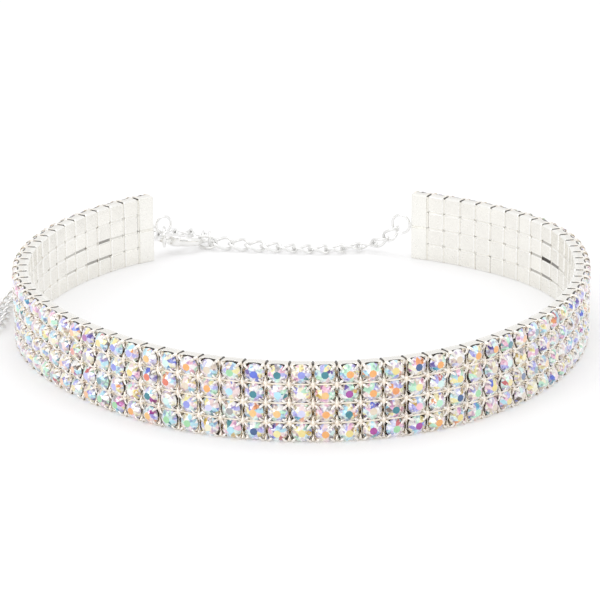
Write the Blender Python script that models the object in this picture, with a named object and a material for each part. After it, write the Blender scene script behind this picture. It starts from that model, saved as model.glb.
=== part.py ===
"""A four-row stone choker standing on its lower edge, with its lobster clasp and extender chain."""

import math

import bmesh
import bpy
from mathutils import Matrix, Vector

# Stone band: square cups in columns of four, joined at their backs
ROWS = 4
COLUMN_PITCH = 0.0041
ROW_PITCH = 0.00378
CUP_WIDTH = 0.00385
CUP_DEPTH = 0.0018
WEB_THICKNESS = 0.0008
TURNING_OFFSET = 0.00079
ROW_SLIT = 0.00014
PRONG_REACH = 0.0033
PRONG_LEAN = 0.00032
GIRDLE_HEIGHT = 0.0021
GIRDLE_INSET = 0.00016
TABLE_HEIGHT = 0.0036
TABLE_RADIUS = 0.0008

# Plan of the band from its left end: columns in the stretch, turn before each column in degrees
BAND_STRETCHES = (
    (3, 6.5),
    (9, 3.9),
    (8, 4.1),
    (8, 2.8),
    (8, 4.8),
    (9, 5.2),
    (9, 3.3),
    (7, 3.2),
    (6, 5.9),
    (6, 3.6),
)
BAND_START = Vector((-0.0322, 0.025))
FIRST_HEADING = -144.7

# Soldered end rings and the clasp's jump ring
RING_WIRE = 0.00065
END_RING_DIAMETER = {"left": 0.0045, "right": 0.0049}
END_RING_HEIGHT = {"left": 0.0079, "right": 0.0076}
SOLDER_NECK = {"left": 0.0005, "right": 0.0001}
SOLDER_HEIGHT = 0.0009
SOLDER_WIDTH = 0.00056
JUMP_RING_DIAMETER = 0.005
JUMP_RING_TILT = 12.0
JUMP_RING_REACH = 40.0
RING_PLAY = 0.00042
RING_SEGMENTS = 16
RING_SIDES = 6

# Lobster clasp, measured from the centre of its eye
CLASP_HEADING = 34.7
CLASP_PITCH = 9.5
EYE_RADIUS = 0.00135
EYE_WIRE = 0.00065
EYE_THICKNESS = 0.0007
BARREL_CENTRE = Vector((0.003, 0.0001))
BARREL_RADIUS = 0.0019
BARREL_THICKNESS = 0.0024
CLAW_CENTRE = Vector((0.0066, -0.0001))
CLAW_HALF_LENGTH = 0.00375
CLAW_HALF_WIDTH = 0.002
# Sections of the claw: angle round its ellipse, half width, half thickness
CLAW_SECTIONS = (
    (-152, 0.00085, 0.00112),
    (-120, 0.00082, 0.0011),
    (-85, 0.00072, 0.00095),
    (-50, 0.0006, 0.00046),
    (0, 0.0006, 0.00042),
    (35, 0.0005, 0.0005),
    (58, 0.00032, 0.0004),
)
CLAW_STATIONS = 15
CLAW_SIDES = 8
PIVOT = Vector((0.0032, 0.0006))
PIN_RADIUS = 0.0003
PIN_PLAY = 0.00025
LEVER_THICKNESS = 0.0009
LEVER_SIDE_PLAY = 0.0002
LEVER_BOSS = 0.00095
LEVER_ARM = 0.005
LEVER_ARM_WIDTH = 0.0008
LEVER_ARM_ANGLE = 13.5
LEVER_TAB_ANGLE = 104.0
LEVER_TAB_LENGTH = 0.0024
LEVER_TAB_WIDTH = 0.00085
SLOT_FLOOR = 0.0009
ARC_SEGMENTS = 20

# Extender chain: twisted oval links
LINK_WIRE = 0.0006
LINK_WIDTH = 0.00336
LINK_STEP = 0.00387
LINK_PLAY = 0.00008
LINK_TWIST = 45.0
LINK_SEGMENTS = 10
LINK_SIDES = 5
ROLL_FADE = 4
HOOKED_LINK_HEADING = -15.0
HOOKED_LINK_HEIGHT = 0.00175
HOOKED_LINK_PLAY = 0.0005
HOOKED_LINK_SIDES = 6
CHAIN_RING_PLAY = 0.0002
# The part of the held link's wire that the tail hangs on: segment round the link, side round the wire
TAIL_SEGMENT = LINK_SEGMENTS // 5
TAIL_SIDE = HOOKED_LINK_SIDES // 3
TAIL_TURN = 18.0

# Routes of the chain over the surface that the choker stands on, chosen by hand
WORN_ROUTE = (
    (0.0198, 0.0294, 0.0038),
    (0.0176, 0.0309, 0.0022),
    (0.0151, 0.0316, 0.0015),
    (0.0110, 0.0306, 0.0012),
    (0.0050, 0.0303, 0.0010),
    (-0.0025, 0.0311, 0.0011),
    (-0.0090, 0.0320, 0.0013),
    (-0.0142, 0.0329, 0.0015),
)
TAIL_ROUTE = (
    (-0.0225, 0.0410, 0.0015),
    (-0.0257, 0.0430, 0.0014),
    (-0.0300, 0.0436, 0.0012),
    (-0.0360, 0.0418, 0.0010),
    (-0.0430, 0.0358, 0.0009),
    (-0.0500, 0.0265, 0.0009),
    (-0.0560, 0.0153, 0.0009),
    (-0.0605, 0.0040, 0.0009),
    (-0.0628, -0.0070, 0.0009),
    (-0.0628, -0.0160, 0.0009),
    (-0.0636, -0.0237, 0.0009),
    (-0.0668, -0.0300, 0.0009),
)
ROUTE_SAMPLES = 24


def clear_scene():
    for item in list(bpy.data.objects):
        bpy.data.objects.remove(item, do_unlink=True)


def make_material(name, colour, roughness, metallic):
    material = bpy.data.materials.new(name)
    material.use_nodes = True
    shader = material.node_tree.nodes["Principled BSDF"]
    shader.inputs["Base Color"].default_value = (*colour, 1.0)
    shader.inputs["Roughness"].default_value = roughness
    shader.inputs["Metallic"].default_value = metallic
    return material


def finish_object(name, bm, material, matrix=None):
    bmesh.ops.recalc_face_normals(bm, faces=bm.faces)
    mesh = bpy.data.meshes.new(name)
    bm.to_mesh(mesh)
    bm.free()
    if matrix is not None:
        mesh.transform(matrix)
    mesh.materials.append(material)
    item = bpy.data.objects.new(name, mesh)
    bpy.context.scene.collection.objects.link(item)
    return item


def heading_vector(degrees):
    return Vector((math.cos(math.radians(degrees)), math.sin(math.radians(degrees)), 0.0))


def outward_of(heading):
    return heading_vector(heading - 90)


# Closed and open tubes, and the solder or contact between two pieces of wire

def closed_tube(bm, stations):
    """A ring of cross sections. Returns its points and its faces by station and side."""
    grid = [[bm.verts.new(point) for point in station] for station in stations]
    faces = {}
    for s, station in enumerate(grid):
        following = grid[(s + 1) % len(grid)]
        for m in range(len(station)):
            n = (m + 1) % len(station)
            faces[s, m] = bm.faces.new((station[m], station[n], following[n], following[m]))
    return faces


def open_tube(bm, stations):
    grid = [[bm.verts.new(point) for point in station] for station in stations]
    for station, following in zip(grid, grid[1:]):
        for m in range(len(station)):
            n = (m + 1) % len(station)
            bm.faces.new((station[m], station[n], following[n], following[m]))
    bm.faces.new(grid[0])
    bm.faces.new(grid[-1])


def join_faces(bm, first, second):
    """Removes two four-sided faces that look at each other and walls in the space between them."""
    near = list(first.verts)
    far = list(second.verts)
    orders = [far[k:] + far[:k] for k in range(4)]
    orders += [order[::-1] for order in orders]
    best = min(orders, key=lambda order: sum((a.co - b.co).length for a, b in zip(near, order)))
    bmesh.ops.delete(bm, geom=[first, second], context="FACES_ONLY")
    for k in range(4):
        n = (k + 1) % 4
        bm.faces.new((near[k], near[n], best[n], best[k]))


def ring_stations(centre, toward, normal, radius, wire):
    """A round ring's cross sections. A segment is centred on the direction toward."""
    across = normal.cross(toward)
    stations = []
    for s in range(RING_SEGMENTS):
        angle = 2 * math.pi * (s - 0.5) / RING_SEGMENTS
        outward = toward * math.cos(angle) + across * math.sin(angle)
        middle = centre + outward * radius
        station = []
        for m in range(RING_SIDES):
            turn = 2 * math.pi * (m - 0.5) / RING_SIDES
            station.append(middle + (outward * math.cos(turn) + normal * math.sin(turn)) * wire / 2)
        stations.append(station)
    return stations


# Stone band

def band_line():
    """The line that the columns turn on: its points at the gaps between columns, and each column's heading."""
    turns = [turn for count, turn in BAND_STRETCHES for _ in range(count)]
    points = [BAND_START.to_3d()]
    headings = []
    for k in range(len(turns)):
        heading = FIRST_HEADING + sum(turns[1 : k + 1])
        headings.append(heading)
        points.append(points[-1] + heading_vector(heading) * COLUMN_PITCH)
    return points, headings


def gap_lines(points, headings):
    """At each gap and row line, the point on the cups' backs and the one on the web's front."""
    backs = []
    webs = []
    for k, point in enumerate(points):
        near = headings[max(k - 1, 0)]
        far = headings[min(k, len(headings) - 1)]
        outward = outward_of((near + far) / 2)
        heights = [Vector((0, 0, ROW_PITCH * line)) for line in range(ROWS + 1)]
        back = point + outward * TURNING_OFFSET
        backs.append([back + height for height in heights])
        webs.append([back + outward * WEB_THICKNESS + height for height in heights])
    return backs, webs


def cell_points(middle, along, outward, row):
    """Prong tips, girdle points and table corners of one set stone, with its cup's outer edge corners."""
    low = 0.0 if row == 0 else ROW_SLIT / 2
    high = ROW_PITCH - (0.0 if row == ROWS - 1 else ROW_SLIT / 2)
    base = middle + Vector((0, 0, ROW_PITCH * row))
    centre = (low + high) / 2
    half_width = CUP_WIDTH / 2
    half_height = (high - low) / 2

    def at(across, up, depth):
        return base + along * across + outward * depth + Vector((0, 0, centre + up))

    signs = ((-1, -1), (1, -1), (1, 1), (-1, 1))
    sides = ((0, -1), (1, 0), (0, 1), (-1, 0))
    tip_width = half_width - PRONG_LEAN
    tip_height = half_height - PRONG_LEAN
    table = TABLE_RADIUS / math.sqrt(2)
    prongs = [at(a * tip_width, b * tip_height, PRONG_REACH) for a, b in signs]
    girdle = [
        at(a * (half_width - GIRDLE_INSET), b * (half_height - GIRDLE_INSET), GIRDLE_HEIGHT)
        for a, b in sides
    ]
    tables = [at(a * table, b * table, TABLE_HEIGHT) for a, b in signs]
    edges = [at(a * half_width, b * half_height, CUP_DEPTH) for a, b in signs]
    return prongs, girdle, tables, edges


def add_stone_cell(bm, corners, backs, points, row):
    """One cup with its four prongs and its cut stone. Corners run round from the lower left."""
    prongs, girdle, tables = [[bm.verts.new(point) for point in group] for group in points[:3]]
    bm.faces.new(tables)
    for k in range(4):
        n = (k + 1) % 4
        outer_edge = (k == 0 and row == 0) or (k == 2 and row == ROWS - 1)
        left, right = corners[k], corners[n]
        if outer_edge:
            left, right = [bm.verts.new(points[3][c]) for c in (k, n)]
            bm.faces.new((prongs[k], corners[k], left))
            bm.faces.new((corners[n], prongs[n], right))
            bm.faces.new((corners[n], right, left, corners[k], backs[k], backs[n]))
        bm.faces.new((left, right, girdle[k]))
        bm.faces.new((left, girdle[k], prongs[k]))
        bm.faces.new((right, prongs[n], girdle[k]))
        bm.faces.new((girdle[k], prongs[n], girdle[n]))
        bm.faces.new((girdle[k], tables[n], tables[k]))
        bm.faces.new((tables[n], girdle[k], girdle[n]))
    bm.faces.new((backs[0], backs[3], backs[2], backs[1]))


def add_end_face(bm, backs, webs, foot):
    """An end of the band, with the patch that the end ring is soldered to. Returns the patch."""
    across = (webs[0].co - backs[0].co).normalized()
    patch = []
    for side, up in ((-1, 1), (-1, -1), (1, -1), (1, 1)):
        offset = across * side * SOLDER_WIDTH / 2 + Vector((0, 0, up * SOLDER_HEIGHT / 2))
        patch.append(bm.verts.new(foot + offset))
    bm.faces.new((*backs[::-1], patch[1], patch[0]))
    bm.faces.new((backs[0], webs[0], patch[2], patch[1]))
    bm.faces.new((*webs, patch[3], patch[2]))
    bm.faces.new((webs[-1], backs[-1], patch[0], patch[3]))
    return bm.faces.new(patch)


def end_ring(side, points, headings):
    """Where an end ring is soldered, the direction from there to its centre, its normal, and its centre."""
    index = 0 if side == "left" else -1
    direction = heading_vector(headings[index]) * (-1 if side == "left" else 1)
    normal = outward_of(headings[index])
    foot = points[index] + normal * (TURNING_OFFSET + WEB_THICKNESS / 2)
    foot.z = END_RING_HEIGHT[side]
    centre = foot + direction * (SOLDER_NECK[side] + END_RING_DIAMETER[side] / 2)
    return foot, direction, normal, centre


def make_stone_band(material):
    bm = bmesh.new()
    points, headings = band_line()
    backs, webs = [
        [[bm.verts.new(point) for point in column] for column in group]
        for group in gap_lines(points, headings)
    ]
    for k, heading in enumerate(headings):
        along = heading_vector(heading)
        outward = outward_of(heading)
        middle = (points[k] + points[k + 1]) / 2 + outward * TURNING_OFFSET
        for row in range(ROWS):
            corners = [webs[k][row], webs[k + 1][row], webs[k + 1][row + 1], webs[k][row + 1]]
            behind = [backs[k][row], backs[k + 1][row], backs[k + 1][row + 1], backs[k][row + 1]]
            add_stone_cell(bm, corners, behind, cell_points(middle, along, outward, row), row)
    for side, index in (("left", 0), ("right", -1)):
        foot, direction, normal, centre = end_ring(side, points, headings)
        patch = add_end_face(bm, backs[index], webs[index], foot)
        radius = (END_RING_DIAMETER[side] - RING_WIRE) / 2
        stations = ring_stations(centre, -direction, normal, radius, RING_WIRE)
        join_faces(bm, patch, closed_tube(bm, stations)[0, 0])
    return finish_object("stone_band", bm, material)


# Clasp and its jump ring

def jump_ring_place():
    """Centre of the clasp's jump ring, which hangs in the left end ring, and the clasp eye's centre."""
    points, headings = band_line()
    centre = end_ring("left", points, headings)[-1]
    tilt = math.radians(JUMP_RING_TILT)
    reach = math.radians(JUMP_RING_REACH)
    down = Vector((0, math.sin(tilt), -math.cos(tilt)))
    back = Vector((0, math.cos(tilt), math.sin(tilt)))
    radius = (JUMP_RING_DIAMETER - RING_WIRE) / 2
    hung_on = centre - Vector((0, 0, (END_RING_DIAMETER["left"] - RING_WIRE) / 2))
    middle = hung_on + Vector((0, 0, RING_WIRE + RING_PLAY)) + down * radius
    eye = middle + (back * math.sin(reach) + down * math.cos(reach)) * radius
    return middle, eye


def make_jump_ring(material):
    bm = bmesh.new()
    middle, _ = jump_ring_place()
    radius = (JUMP_RING_DIAMETER - RING_WIRE) / 2
    tilt = math.radians(JUMP_RING_TILT)
    toward = Vector((0, -math.sin(tilt), math.cos(tilt)))
    closed_tube(bm, ring_stations(middle, toward, Vector((1, 0, 0)), radius, RING_WIRE))
    return finish_object("jump_ring", bm, material)


def clasp_matrix():
    _, eye = jump_ring_place()
    turn = Matrix.Rotation(math.radians(CLASP_HEADING), 4, "Z")
    pitch = Matrix.Rotation(math.radians(CLASP_PITCH), 4, "Y")
    return Matrix.Translation(eye) @ turn @ pitch


def section_at(angle):
    """Half width and half thickness of the claw, read from its table with straight lines."""
    for low, high in zip(CLAW_SECTIONS, CLAW_SECTIONS[1:]):
        if angle <= high[0]:
            share = (angle - low[0]) / (high[0] - low[0])
            return [a + (b - a) * share for a, b in zip(low[1:], high[1:])]
    return CLAW_SECTIONS[-1][1:]


def claw_point(angle):
    turn = math.radians(angle)
    x = CLAW_CENTRE.x + CLAW_HALF_LENGTH * math.cos(turn)
    y = CLAW_CENTRE.y + CLAW_HALF_WIDTH * math.sin(turn)
    return Vector((x, y, 0))


def claw_normal(angle):
    turn = math.radians(angle)
    return Vector((math.cos(turn) / CLAW_HALF_LENGTH, math.sin(turn) / CLAW_HALF_WIDTH, 0)).normalized()


def add_claw(bm):
    first, last = CLAW_SECTIONS[0][0], CLAW_SECTIONS[-1][0]
    stations = []
    for s in range(CLAW_STATIONS):
        angle = first + (last - first) * s / (CLAW_STATIONS - 1)
        half_width, half_thickness = section_at(angle)
        station = []
        for m in range(CLAW_SIDES):
            turn = 2 * math.pi * (m + 0.5) / CLAW_SIDES
            out = claw_normal(angle) * half_width * math.cos(turn)
            up = Vector((0, 0, half_thickness * math.sin(turn)))
            station.append(claw_point(angle) + out + up)
        stations.append(station)
    open_tube(bm, stations)


def add_eye(bm):
    stations = []
    for s in range(RING_SEGMENTS):
        outward = heading_vector(360 * (s + 0.5) / RING_SEGMENTS)
        station = []
        for m in range(RING_SIDES):
            turn = 2 * math.pi * m / RING_SIDES
            offset = outward * EYE_WIRE / 2 * math.cos(turn)
            offset += Vector((0, 0, EYE_THICKNESS / math.sqrt(3) * math.sin(turn)))
            station.append(outward * EYE_RADIUS + offset)
        stations.append(station)
    closed_tube(bm, stations)


def add_prism(bm, outline, thickness):
    """A flat piece of the given outline, centred on the plane of the clasp."""
    low = [bm.verts.new((x, y, -thickness / 2)) for x, y in outline]
    high = [bm.verts.new((x, y, thickness / 2)) for x, y in outline]
    bm.faces.new(low)
    bm.faces.new(high)
    for k in range(len(outline)):
        n = (k + 1) % len(outline)
        bm.faces.new((low[k], low[n], high[n], high[k]))


def circle_outline(centre, radius, segments=ARC_SEGMENTS):
    turns = [2 * math.pi * k / segments for k in range(segments)]
    return [(centre.x + radius * math.cos(t), centre.y + radius * math.sin(t)) for t in turns]


def add_barrel(bm):
    """The round body of the clasp, with its upper and lower rims drawn in."""
    rim = 0.82 * BARREL_RADIUS
    layers = ((-0.5, rim), (-0.26, BARREL_RADIUS), (0.26, BARREL_RADIUS), (0.5, rim))
    stations = []
    for level, radius in layers:
        outline = circle_outline(BARREL_CENTRE, radius, RING_SEGMENTS)
        stations.append([(x, y, level * BARREL_THICKNESS) for x, y in outline])
    open_tube(bm, stations)


def add_slot(bm):
    """The room between the cheeks, where the lever turns."""
    half = LEVER_THICKNESS / 2 + LEVER_SIDE_PLAY
    reach = BARREL_CENTRE.y + 2 * BARREL_RADIUS
    floor = BARREL_CENTRE.y - SLOT_FLOOR
    outline = (
        (BARREL_CENTRE.x - 1.5 * BARREL_RADIUS, reach),
        (BARREL_CENTRE.x - 0.62 * BARREL_RADIUS, floor),
        (BARREL_CENTRE.x + 2 * BARREL_RADIUS, floor),
        (BARREL_CENTRE.x + 2 * BARREL_RADIUS, reach),
    )
    add_prism(bm, outline, 2 * half)


def boolean(target, cutter, operation):
    """Applies one solid to another and removes it."""
    modifier = target.modifiers.new(operation.title(), "BOOLEAN")
    modifier.operation = operation
    modifier.solver = "EXACT"
    modifier.object = cutter
    graph = bpy.context.evaluated_depsgraph_get()
    mesh = bpy.data.meshes.new_from_object(target.evaluated_get(graph))
    target.modifiers.clear()
    target.data = mesh
    bpy.data.objects.remove(cutter, do_unlink=True)


def make_helper(name, build, material):
    bm = bmesh.new()
    build(bm)
    return finish_object(name, bm, material)


def add_pin(bm):
    add_prism(bm, circle_outline(PIVOT, PIN_RADIUS, RING_SEGMENTS), 0.9 * BARREL_THICKNESS)


def make_clasp_body(material):
    body = make_helper("clasp_body", add_barrel, material)
    for build, operation in (
        (add_claw, "UNION"),
        (add_eye, "UNION"),
        (add_slot, "DIFFERENCE"),
        (add_pin, "UNION"),
    ):
        boolean(body, make_helper("helper", build, material), operation)
    body.data.transform(clasp_matrix())
    return body


def lever_outline():
    """The lever seen along its pin: boss, arm towards the claw's tip, and thumb tab."""
    def from_pivot(angle, distance, side):
        along = heading_vector(angle)
        across = heading_vector(angle + 90)
        point = PIVOT.to_3d() + along * distance + across * side
        return (point.x, point.y)

    half_arm = LEVER_ARM_WIDTH / 2
    half_tab = LEVER_TAB_WIDTH / 2
    arm_root = math.degrees(math.asin(half_arm / LEVER_BOSS))
    tab_root = math.degrees(math.asin(half_tab / LEVER_BOSS))
    outline = [
        from_pivot(LEVER_ARM_ANGLE, LEVER_ARM - half_arm / 2, -half_arm),
        from_pivot(LEVER_ARM_ANGLE, LEVER_ARM, -half_arm / 3),
        from_pivot(LEVER_ARM_ANGLE, LEVER_ARM, half_arm / 2),
        from_pivot(LEVER_ARM_ANGLE, LEVER_ARM - half_arm / 2, half_arm),
        from_pivot(LEVER_ARM_ANGLE, LEVER_BOSS * 1.5, half_arm * 1.4),
        from_pivot(LEVER_TAB_ANGLE, LEVER_BOSS, -half_tab),
        from_pivot(LEVER_TAB_ANGLE, LEVER_TAB_LENGTH - half_tab, -half_tab * 1.2),
        from_pivot(LEVER_TAB_ANGLE, LEVER_TAB_LENGTH, -half_tab * 0.5),
        from_pivot(LEVER_TAB_ANGLE, LEVER_TAB_LENGTH, half_tab * 0.5),
        from_pivot(LEVER_TAB_ANGLE, LEVER_TAB_LENGTH - half_tab, half_tab * 1.2),
    ]
    start = LEVER_TAB_ANGLE + tab_root
    end = LEVER_ARM_ANGLE - arm_root + 360
    steps = 10
    for k in range(steps + 1):
        outline.append(from_pivot(start + (end - start) * k / steps, LEVER_BOSS, 0))
    return outline


def make_clasp_lever(material):
    def add_lever(bm):
        add_prism(bm, lever_outline(), LEVER_THICKNESS)

    def add_bore(bm):
        add_prism(bm, circle_outline(PIVOT, PIN_RADIUS + PIN_PLAY, 12), 2 * LEVER_THICKNESS)

    lever = make_helper("clasp_lever", add_lever, material)
    boolean(lever, make_helper("helper", add_bore, material), "DIFFERENCE")
    lever.data.transform(clasp_matrix())
    return lever


# Extender chain

def smooth_route(points):
    """A curve through all the points, each stretch sampled evenly."""
    points = [Vector(point) for point in points]
    points = [2 * points[0] - points[1]] + points + [2 * points[-1] - points[-2]]
    route = []
    for a, b, c, d in zip(points, points[1:], points[2:], points[3:]):
        for k in range(ROUTE_SAMPLES):
            t = k / ROUTE_SAMPLES
            pull = (c - a) * t + (2 * a - 5 * b + 4 * c - d) * t * t
            route.append(b + (pull + (3 * b - 3 * c + d - a) * t * t * t) / 2)
    return route + [points[-2]]


def even_points(route, step, whole):
    """Points spaced evenly along a route. The spacing shrinks a little where both ends are fixed."""
    lengths = [0.0]
    for a, b in zip(route, route[1:]):
        lengths.append(lengths[-1] + (b - a).length)
    count = math.ceil(lengths[-1] / step) if whole else math.floor(lengths[-1] / step)
    spacing = lengths[-1] / count if whole else step
    found = []
    k = 0
    for n in range(count + 1):
        target = min(n * spacing, lengths[-1])
        while k < len(route) - 2 and lengths[k + 1] < target:
            k += 1
        share = (target - lengths[k]) / (lengths[k + 1] - lengths[k])
        found.append(route[k].lerp(route[k + 1], share))
    return found


def level_side(axis):
    return Vector((0, 0, 1)).cross(axis).normalized()


def add_link(bm, start, end, roll, twist=LINK_TWIST, sides=LINK_SIDES):
    """One oval link between two contact points. Its ends are turned about its length by the twist."""
    axis = (end - start).normalized()
    side = level_side(axis)
    middle = (start + end) / 2
    half_turn = math.pi / LINK_SEGMENTS
    half_length = (LINK_STEP + LINK_WIRE + LINK_PLAY) / 2
    half_width = (LINK_WIDTH - LINK_WIRE) / 2
    stations = []
    for s in range(LINK_SEGMENTS):
        angle = (2 * s - 1) * half_turn
        x = half_length * math.cos(angle) / math.cos(half_turn)
        y = half_width * math.sin(angle)
        inward = -Vector((math.cos(angle) / half_length, math.sin(angle) / half_width)).normalized()
        turn = Matrix.Rotation(math.radians(roll + twist * x / half_length), 3, axis)
        across = turn @ side
        up = axis.cross(across)
        station = []
        for m in range(sides):
            bend = 2 * math.pi * (m - 0.5) / sides
            flat = inward * math.cos(bend)
            point = axis * (x + flat.x * LINK_WIRE / 2) + across * (y + flat.y * LINK_WIRE / 2)
            station.append(middle + point + up * math.sin(bend) * LINK_WIRE / 2)
        stations.append(station)
    return closed_tube(bm, stations)


def link_end(faces):
    return faces[0, 0]


def link_start(faces):
    return faces[LINK_SEGMENTS // 2, 0]


def add_chain(bm, joints, first_roll, last_roll):
    """Links between the contact points, rolled at both ends and lying flat between them."""
    count = len(joints) - 1
    links = []
    for k in range(count):
        roll = first_roll * max(0.0, 1 - k / ROLL_FADE)
        roll += last_roll * max(0.0, 1 - (count - 1 - k) / ROLL_FADE)
        links.append(add_link(bm, joints[k], joints[k + 1], roll))
    for near, far in zip(links, links[1:]):
        join_faces(bm, link_end(near), link_start(far))
    return links


def hooked_link_place():
    """Contact points of the link that the claw holds: it stands upright round the claw's nose."""
    local = HOOKED_LINK_HEADING - CLASP_HEADING
    slope = CLAW_HALF_LENGTH / CLAW_HALF_WIDTH
    nose = math.degrees(math.atan2(math.tan(math.radians(local)), slope))
    held = clasp_matrix() @ claw_point(nose)
    half_width = section_at(nose)[0]
    axis = heading_vector(HOOKED_LINK_HEADING)
    inside = held - axis * (half_width + HOOKED_LINK_PLAY + LINK_WIRE / 2)
    inside.z = HOOKED_LINK_HEIGHT
    start = inside + axis * (LINK_WIRE + LINK_PLAY) / 2
    return start, start + axis * LINK_STEP


def ring_hold():
    """Where the first link passes round the right end ring's wire, and that wire's direction."""
    _, direction, _, centre = end_ring("right", *band_line())
    up = Vector((0, 0, 1))
    outward = (direction - up).normalized()
    return centre + outward * (END_RING_DIAMETER["right"] - RING_WIRE) / 2, direction + up


def roll_of(axis, side):
    """Angle from the level side of a link to the given side, between -90 and 90 degrees."""
    level = level_side(axis)
    angle = math.degrees(math.atan2(side.dot(axis.cross(level)), side.dot(level)))
    return (angle + 90) % 180 - 90


def add_worn_stretch(bm, hooked, hooked_end):
    """The links from the right end ring to the link in the claw."""
    held, wire = ring_hold()
    leaving = (Vector(WORN_ROUTE[0]) - held).normalized()
    first = held - leaving * (RING_WIRE / 2 + CHAIN_RING_PLAY - LINK_PLAY / 2)
    roll = roll_of(leaving, leaving.cross(wire)) + LINK_TWIST
    route = smooth_route((first, *WORN_ROUTE, hooked_end))
    links = add_chain(bm, even_points(route, LINK_STEP, True), roll, -LINK_TWIST)
    join_faces(bm, link_end(links[-1]), link_end(hooked))


def add_tail(bm, hooked):
    """The tail: its first link hangs on the upper wire of the link in the claw."""
    contact = hooked[TAIL_SEGMENT, TAIL_SIDE]
    wire = [vertex.co for m in range(HOOKED_LINK_SIDES) for vertex in hooked[TAIL_SEGMENT, m].verts]
    middle = sum(wire, Vector()) / len(wire)
    face_middle = sum((vertex.co for vertex in contact.verts), Vector()) / 4
    leaving = middle - face_middle
    leaving = (leaving - leaving.project(heading_vector(HOOKED_LINK_HEADING))).normalized()
    leaving.rotate(Matrix.Rotation(math.radians(TAIL_TURN), 3, "Z"))
    start = middle - leaving * (LINK_WIRE + LINK_PLAY) / 2
    following = start + leaving * LINK_STEP
    hanging = add_link(bm, start, following, 90.0, 0.0)
    join_faces(bm, contact, link_start(hanging))
    route = smooth_route((following, *TAIL_ROUTE))
    links = add_chain(bm, even_points(route, LINK_STEP, False), LINK_TWIST, 0.0)
    join_faces(bm, link_end(hanging), link_start(links[0]))


def make_extender_chain(material):
    bm = bmesh.new()
    start, end = hooked_link_place()
    hooked = add_link(bm, start, end, 90.0, 0.0, HOOKED_LINK_SIDES)
    add_worn_stretch(bm, hooked, end)
    add_tail(bm, hooked)
    return finish_object("extender_chain", bm, material)


def stand_on_origin(items):
    """Moves the whole necklace so that the middle of its foot is the origin."""
    corners = [vertex.co for item in items for vertex in item.data.vertices]
    low = Vector([min(corner[axis] for corner in corners) for axis in range(3)])
    high = Vector([max(corner[axis] for corner in corners) for axis in range(3)])
    shift = Vector((-(low.x + high.x) / 2, -(low.y + high.y) / 2, -low.z))
    for item in items:
        item.data.transform(Matrix.Translation(shift))
    return shift


def put_origin(item, point):
    item.data.transform(Matrix.Translation(-point))
    item.location = point


def build():
    clear_scene()
    band = make_stone_band(make_material("band_silver", (0.86, 0.85, 0.83), 0.2, 1.0))
    ring = make_jump_ring(make_material("ring_silver", (0.85, 0.84, 0.82), 0.18, 1.0))
    clasp = make_clasp_body(make_material("clasp_silver", (0.84, 0.83, 0.81), 0.22, 1.0))
    lever = make_clasp_lever(make_material("lever_silver", (0.84, 0.83, 0.81), 0.22, 1.0))
    chain = make_extender_chain(make_material("chain_silver", (0.87, 0.86, 0.84), 0.18, 1.0))
    shift = stand_on_origin([band, ring, clasp, lever, chain])
    put_origin(lever, clasp_matrix() @ PIVOT.to_3d() + shift)
    print("Moved by", [round(1000 * value, 3) for value in shift], "mm")


build()
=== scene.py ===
"""Looks of a standing four-row stone choker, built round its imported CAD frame."""

import math
import random

import bmesh
import bpy
import numpy as np
from mathutils import Matrix, Vector


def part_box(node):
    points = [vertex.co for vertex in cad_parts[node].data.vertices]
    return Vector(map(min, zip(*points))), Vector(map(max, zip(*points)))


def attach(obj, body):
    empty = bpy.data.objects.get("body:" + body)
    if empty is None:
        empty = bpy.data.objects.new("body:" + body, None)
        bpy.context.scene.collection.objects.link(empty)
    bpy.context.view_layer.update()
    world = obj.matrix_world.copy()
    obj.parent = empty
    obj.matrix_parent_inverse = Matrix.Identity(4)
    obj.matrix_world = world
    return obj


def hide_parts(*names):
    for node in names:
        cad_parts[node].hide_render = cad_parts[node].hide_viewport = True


MM = 0.001
UP = Vector((0, 0, 1))

# Plan of the band, in millimetres, as the CAD has it
ROWS = 4
COLUMN_PITCH = 4.1
ROW_PITCH = 3.78
CUP_WIDTH = 3.85
TURNING_OFFSET = 0.79
WEB_THICKNESS = 0.8
ROW_SLIT = 0.14
BAND_STRETCHES = (
    (3, 6.5),
    (9, 3.9),
    (8, 4.1),
    (8, 2.8),
    (8, 4.8),
    (9, 5.2),
    (9, 3.3),
    (7, 3.2),
    (6, 5.9),
    (6, 3.6),
)
BAND_START = Vector((-32.2, 25.0, 0.0))
FIRST_HEADING = -144.7
# Row lines that gape a little where the band bends most: column, line counted from the foot, width
OPEN_LINES = {
    (2, 2): 0.1,
    (3, 2): 0.34,
    (5, 2): 0.26,
    (6, 2): 0.2,
    (3, 1): 0.26,
    (4, 1): 0.3,
    (6, 1): 0.16,
    (61, 2): 0.14,
    (62, 2): 0.4,
    (63, 2): 0.52,
    (64, 2): 0.2,
    (62, 1): 0.12,
    (63, 1): 0.32,
    (64, 1): 0.24,
    (63, 3): 0.24,
}

# Rings and clasp, in millimetres, as the CAD has them
RING_WIRE = 0.65
END_RING_DIAMETER = {"left": 4.5, "right": 4.9}
END_RING_HEIGHT = {"left": 7.9, "right": 7.6}
SOLDER_NECK = {"left": 0.5, "right": 0.1}
SOLDER_SIZE = (0.56, 0.9)
SOLDER_SIDES = 12
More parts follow.
